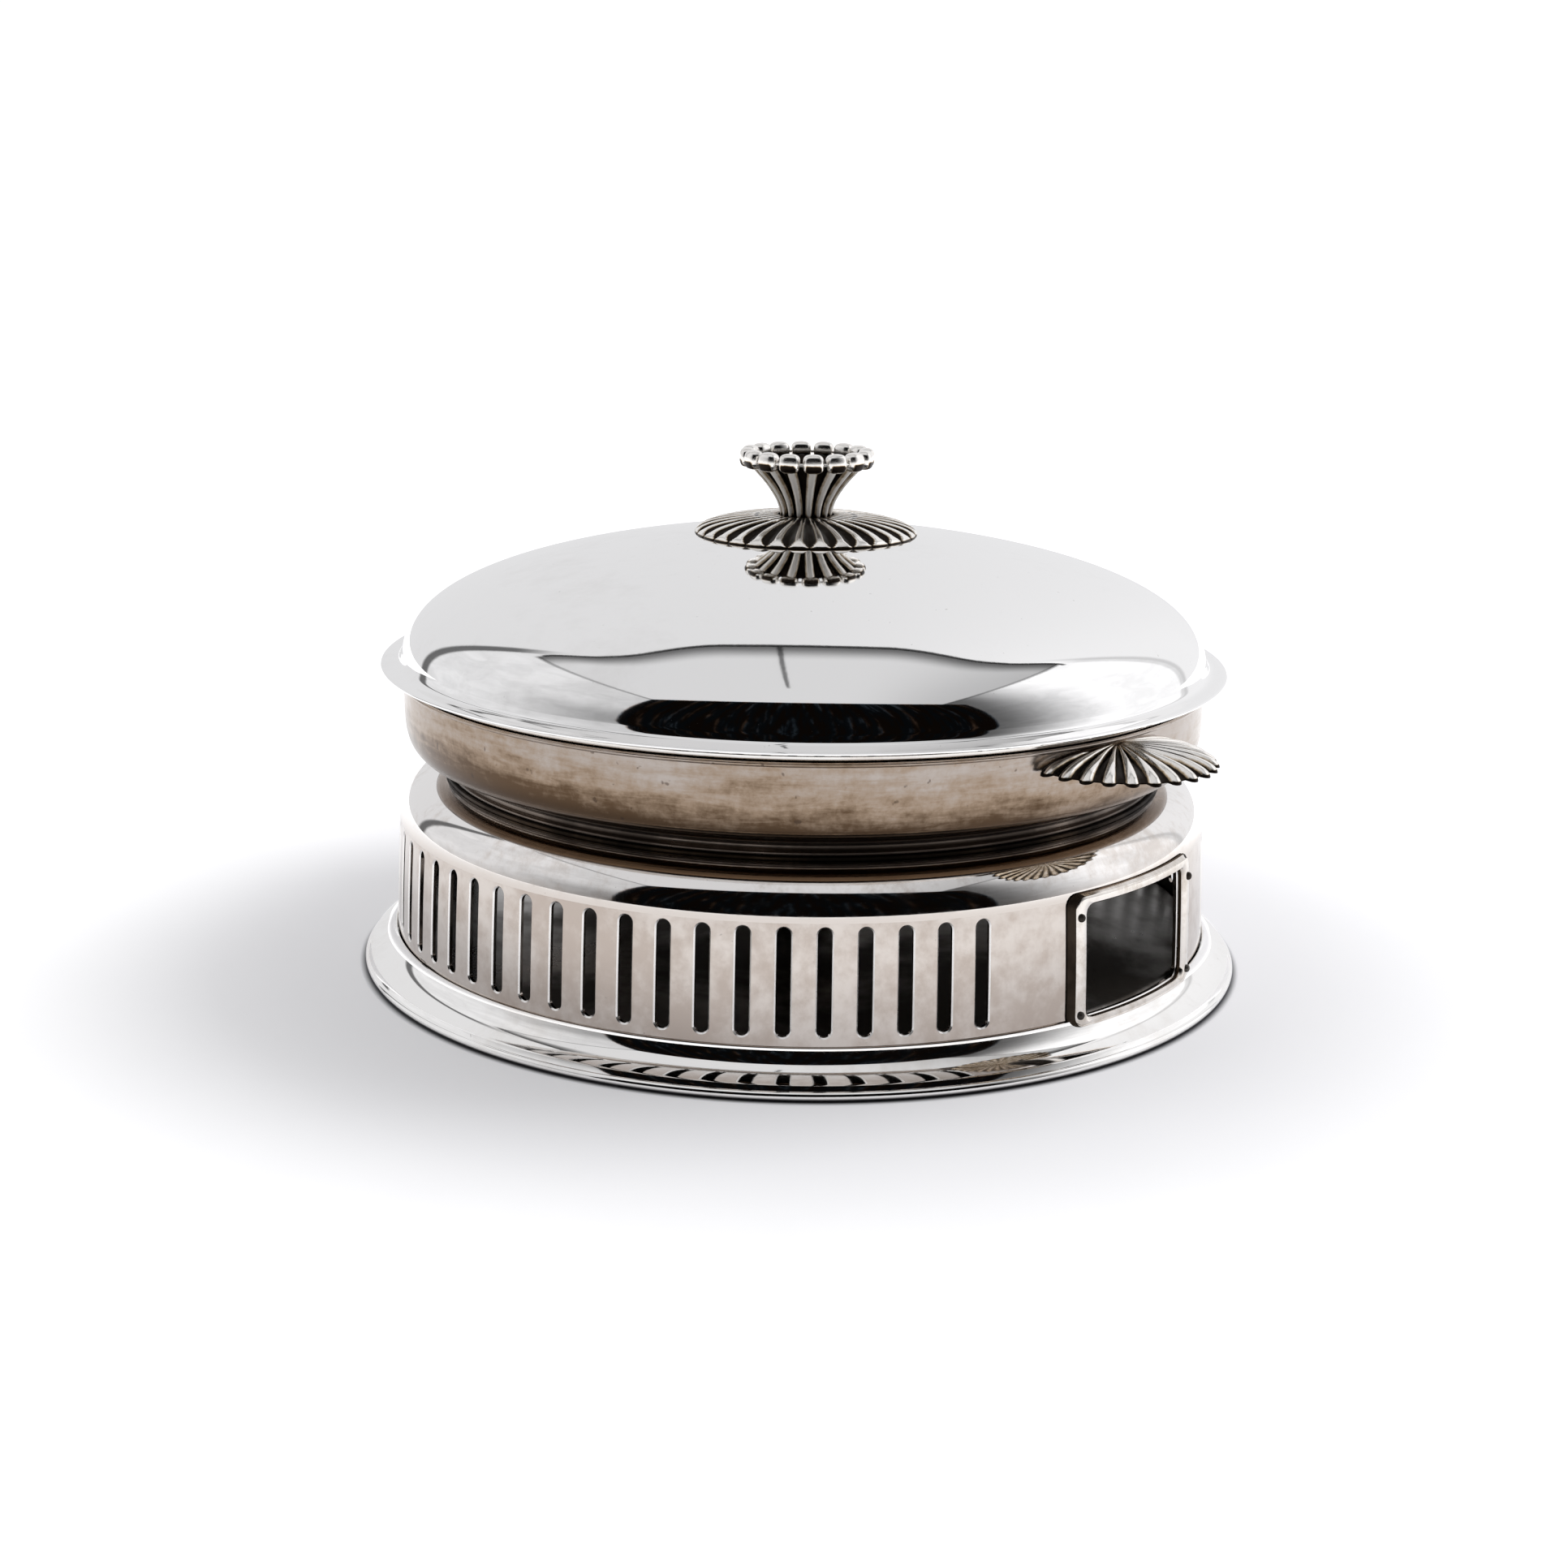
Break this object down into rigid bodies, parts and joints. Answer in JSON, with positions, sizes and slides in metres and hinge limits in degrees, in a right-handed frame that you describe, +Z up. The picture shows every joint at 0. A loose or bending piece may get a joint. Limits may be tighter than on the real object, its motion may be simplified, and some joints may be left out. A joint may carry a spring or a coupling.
{
  "type": "chafing dish",
  "caption": "Round chafing dish in polished metal: slotted stand with framed burner windows, dish with fluted shell handles, food pan and domed lid with a crown knob.",
  "frame": {"origin": "on the table at the middle of the foot", "axes": "+Z up; +X through the middle of one burner window, with the other at -X; the slotted panels face -Y and +Y"},
  "size_m": [0.322, 0.2922, 0.1689],
  "materials": {
    "polished_silver": "mirror polish with fine wear",
    "tarnished_silver": "heat-stained, satin",
    "oxidised_silver": "polished ridges, dark grooves",
    "worn_brass": "brown, worn to a golden edge",
    "dark_metal": "dark, smoked",
    "wool": "matt mineral wool"
  },
  "bodies": {
    "stand": {"stand_foot": "polished_silver", "stand_wall": "polished_silver", "stand_rim": "polished_silver", "base_plate": "dark_metal", "window_frame_right": "polished_silver", "window_frame_left": "polished_silver", "window_rivet_right_1": "dark_metal", "window_rivet_right_2": "dark_metal", "window_rivet_right_3": "dark_metal", "window_rivet_right_4": "dark_metal", "window_rivet_left_1": "dark_metal", "window_rivet_left_2": "dark_metal", "window_rivet_left_3": "dark_metal", "window_rivet_left_4": "dark_metal"},
    "dish": {"water_dish": "tarnished_silver", "dish_seat_ring": "tarnished_silver", "dish_handle_right": "oxidised_silver", "dish_handle_left": "oxidised_silver"},
    "pan": {"food_pan": "polished_silver"},
    "lid": {"lid_dome": "polished_silver", "lid_bezel": "polished_silver", "finial_rosette": "oxidised_silver", "finial_crown": "oxidised_silver", "finial_stud": "dark_metal", "finial_washer": "dark_metal", "finial_nut": "worn_brass"},
    "burner": {"burner_cup": "polished_silver", "burner_wool": "wool", "burner_gauze": "dark_metal", "burner_cap": "polished_silver", "damper_pin": "dark_metal"},
    "damper": {"damper_disc": "polished_silver", "damper_knob": "worn_brass"}
  },
  "joints": [
    {"name": "dish_lift", "type": "slide", "parent": "stand", "child": "dish", "axis": [0, 0, 1], "range_m": [0, 0.08]},
    {"name": "pan_lift", "type": "slide", "parent": "dish", "child": "pan", "axis": [0, 0, 1], "range_m": [0, 0.06]},
    {"name": "lid_lift", "type": "slide", "parent": "pan", "child": "lid", "axis": [0, 0, 1], "range_m": [0, 0.09]},
    {"name": "burner_slide", "type": "slide", "parent": "stand", "child": "burner", "axis": [1, 0, 0], "range_m": [0, 0.175]},
    {"name": "damper_swing", "type": "hinge", "parent": "burner", "child": "damper", "pos_m": [-0.017, 0, 0.0373], "axis": [0, 0, 1], "range_deg": [0, 110]}
  ]
}
